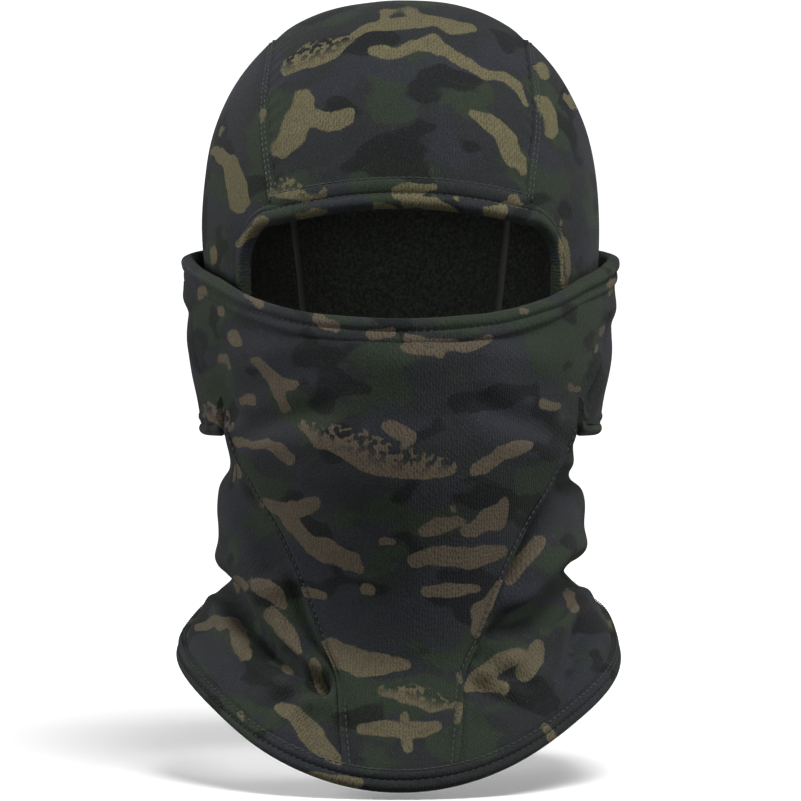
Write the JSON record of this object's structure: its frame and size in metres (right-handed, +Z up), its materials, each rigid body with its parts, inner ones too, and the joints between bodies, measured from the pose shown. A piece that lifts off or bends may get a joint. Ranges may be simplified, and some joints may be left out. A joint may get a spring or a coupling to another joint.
{
  "type": "balaclava",
  "caption": "Fleece-lined stretch balaclava in dark camouflage, with a face opening, a pull-down mask and a flared neck cape.",
  "frame": {"origin": "where the top of the wearer's head bears on the inside of the crown", "axes": "+Z up, -Y the way the wearer faces, +X to the right as seen from in front"},
  "size_m": [0.1884, 0.2222, 0.3282],
  "materials": {
    "camo_knit": "printed stretch knit, dark woodland camouflage",
    "mask_knit": "printed stretch knit with tan and brown shapes",
    "hem_knit": "printed stretch knit, turned and twin-stitched",
    "fleece": "black brushed fleece",
    "thread": "dark polyester flatlock thread"
  },
  "bodies": {
    "hood": {"back_hem": "hem_knit", "back_neck_lining": "fleece", "back_neck_panel": "camo_knit", "bib_lining": "fleece", "bib_panel": "camo_knit", "bib_seam_left": "thread", "bib_seam_right": "thread", "brow_hem": "hem_knit", "crown_lining": "fleece", "crown_panel": "camo_knit", "crown_seam_left": "thread", "crown_seam_right": "thread", "front_hem": "hem_knit", "left_hem": "hem_knit", "left_neck_lining": "fleece", "left_neck_panel": "camo_knit", "left_opening_hem": "hem_knit", "left_side_lining": "fleece", "left_side_panel": "camo_knit", "right_hem": "hem_knit", "right_neck_lining": "fleece", "right_neck_panel": "camo_knit", "right_opening_hem": "hem_knit", "right_side_lining": "fleece", "right_side_panel": "camo_knit"},
    "mask": {"left_wing": "mask_knit", "left_wing_hem": "hem_knit", "left_wing_lining": "fleece", "mask_lining": "fleece", "mask_panel": "mask_knit", "mask_top_hem": "hem_knit", "right_wing": "mask_knit", "right_wing_hem": "hem_knit", "right_wing_lining": "fleece"}
  },
  "joints": [
    {"name": "mask_pull_down", "type": "hinge", "parent": "hood", "child": "mask", "pos_m": [0, 0.04, -0.172], "axis": [1, 0, 0], "range_deg": [0, 20], "deforming": ["bib_panel", "bib_lining", "bib_seam_left", "bib_seam_right"]}
  ]
}
